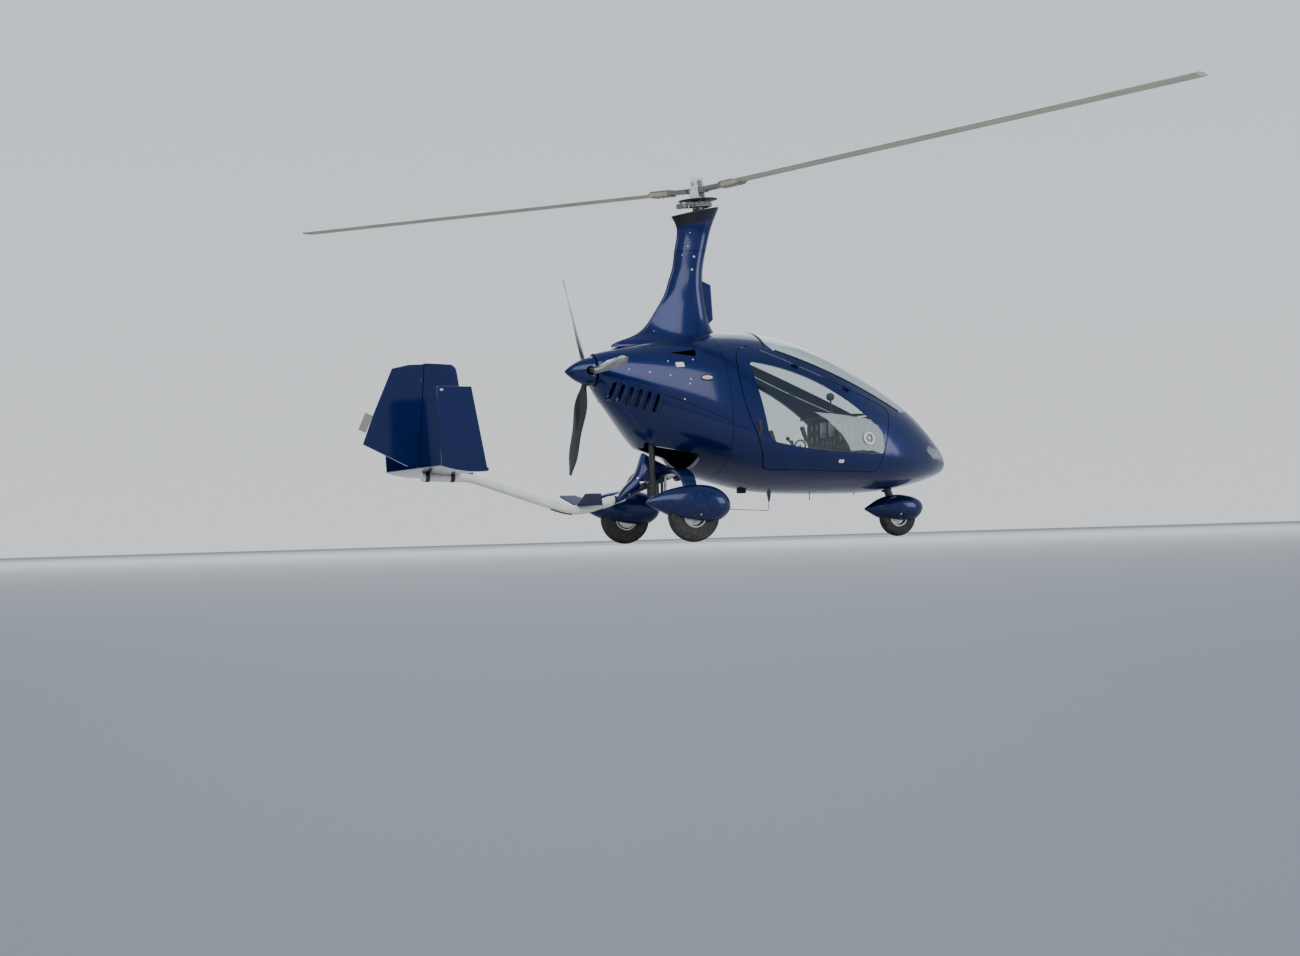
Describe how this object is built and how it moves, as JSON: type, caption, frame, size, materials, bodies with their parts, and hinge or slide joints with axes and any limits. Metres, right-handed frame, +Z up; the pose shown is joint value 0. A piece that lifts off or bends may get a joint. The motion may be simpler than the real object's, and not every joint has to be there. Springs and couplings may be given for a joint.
{
  "type": "enclosed two-seat gyrocopter",
  "caption": "Enclosed side-by-side gyrocopter on spatted wheels, with a teetering rotor on a faired mast, a pusher propeller and a boom-mounted tail.",
  "frame": {"origin": "on the floor, in the plane of symmetry, under the middle of the standing aircraft", "axes": "+X to the nose, +Y to the left-hand side, +Z up"},
  "size_m": [4.8731, 7.375, 3.0048],
  "materials": {
    "body_paint": "deep metallic dark blue under clear lacquer",
    "glazing": "clear acrylic",
    "blade_paint": "satin off-white on extruded alloy",
    "bare_alloy": "machined and clear anodised",
    "dark_steel": "dark metal",
    "black_composite": "gloss black fibre composite",
    "white_paint": "gloss white powder coat",
    "tyre_rubber": "matt black rubber",
    "seat_cover": "stitched black leather",
    "cabin_trim": "fine-grained matt black",
    "grey_paint": "satin light grey"
  },
  "bodies": {
    "airframe": {"cabin_shell": "body_paint", "windscreen": "glazing", "headlamp_lenses": "glazing", "firewall": "dark_steel", "cowl_upper": "body_paint", "cowl_lower": "body_paint", "engine_block": "dark_steel", "exhaust_outlet": "dark_steel", "mast_fairing": "body_paint", "gear_bow": "body_paint", "keel_spine": "body_paint", "tail_tube": "white_paint", "tube_winglets": "body_paint", "main_axles": "bare_alloy", "main_spats": "body_paint", "tailplane": "body_paint", "endplates": "body_paint", "fin": "body_paint", "mast_head_post": "bare_alloy", "seat_cushions": "seat_cover", "seat_backs": "seat_cover", "instrument_console": "cabin_trim", "belly_aerial": "black_composite"},
    "gimbal": {"gimbal_cross": "bare_alloy"},
    "rotor_head": {"rotor_bearing_plate": "bare_alloy"},
    "rotor_tower": {"ring_gear": "dark_steel", "teeter_tower": "bare_alloy"},
    "rotor": {"hub_bar": "bare_alloy", "rotor_blades": "blade_paint"},
    "propeller": {"prop_hub": "black_composite", "prop_spinner": "body_paint", "prop_blades": "black_composite"},
    "wheel_right": {"tyre_right": "tyre_rubber", "rim_right": "bare_alloy"},
    "wheel_left": {"tyre_left": "tyre_rubber", "rim_left": "bare_alloy"},
    "nose_gear": {"nose_fork": "dark_steel", "spat_nose": "body_paint"},
    "wheel_nose": {"tyre_nose": "tyre_rubber", "rim_nose": "bare_alloy"},
    "rudder": {"rudder": "body_paint", "rudder_trim_tab": "grey_paint"},
    "door_right": {"door_right": "body_paint", "door_glass_right": "glazing"},
    "door_left": {"door_left": "body_paint", "door_glass_left": "glazing"}
  },
  "joints": [
    {"name": "head_pitch", "type": "hinge", "parent": "airframe", "child": "gimbal", "pos_m": [0.2518, 0, 2.5302], "axis": [0, 1, 0], "range_deg": [-14, 4]},
    {"name": "head_roll", "type": "hinge", "parent": "gimbal", "child": "rotor_head", "pos_m": [0.2518, 0, 2.5302], "axis": [0.9986, 0, 0.053], "range_deg": [-8, 8]},
    {"name": "rotor_spin", "type": "hinge", "parent": "rotor_head", "child": "rotor_tower", "pos_m": [0.244, 0, 2.67699], "axis": [-0.053, 0, 0.9986], "continuous": true},
    {"name": "rotor_teeter", "type": "hinge", "parent": "rotor_tower", "child": "rotor", "pos_m": [0.24119, 0, 2.72992], "axis": [0.8595, 0.509, 0.0456], "range_deg": [-8, 8]},
    {"name": "prop_spin", "type": "hinge", "parent": "airframe", "child": "propeller", "pos_m": [-0.7, 0, 1.295], "axis": [1, 0, 0], "continuous": true},
    {"name": "wheel_right_spin", "type": "hinge", "parent": "airframe", "child": "wheel_right", "pos_m": [-0.155, -0.693, 0.195], "axis": [0, 1, 0], "continuous": true},
    {"name": "wheel_left_spin", "type": "hinge", "parent": "airframe", "child": "wheel_left", "pos_m": [-0.155, 0.693, 0.195], "axis": [0, 1, 0], "continuous": true},
    {"name": "nose_steer", "type": "hinge", "parent": "airframe", "child": "nose_gear", "pos_m": [1.869, 0, 0.15], "axis": [-0.3567, 0, 0.9342], "range_deg": [-20, 20]},
    {"name": "wheel_nose_spin", "type": "hinge", "parent": "nose_gear", "child": "wheel_nose", "pos_m": [1.869, 0, 0.15], "axis": [0, 1, 0], "continuous": true},
    {"name": "rudder_turn", "type": "hinge", "parent": "airframe", "child": "rudder", "pos_m": [-2.022, 0, 0.61], "axis": [0.0741, 0, 0.9972], "range_deg": [-25, 25]},
    {"name": "door_right_swing", "type": "hinge", "parent": "airframe", "child": "door_right", "pos_m": [0.81, -0.4755, 1.31239], "axis": [0.9133, -0.0609, -0.4028], "range_deg": [-75, 0]},
    {"name": "door_left_swing", "type": "hinge", "parent": "airframe", "child": "door_left", "pos_m": [0.81, 0.4755, 1.31239], "axis": [0.9133, 0.0609, -0.4028], "range_deg": [0, 75]}
  ],
  "couplings": [
    {"joint": "rudder_turn", "follows": "nose_steer", "ratio": -1.25}
  ]
}
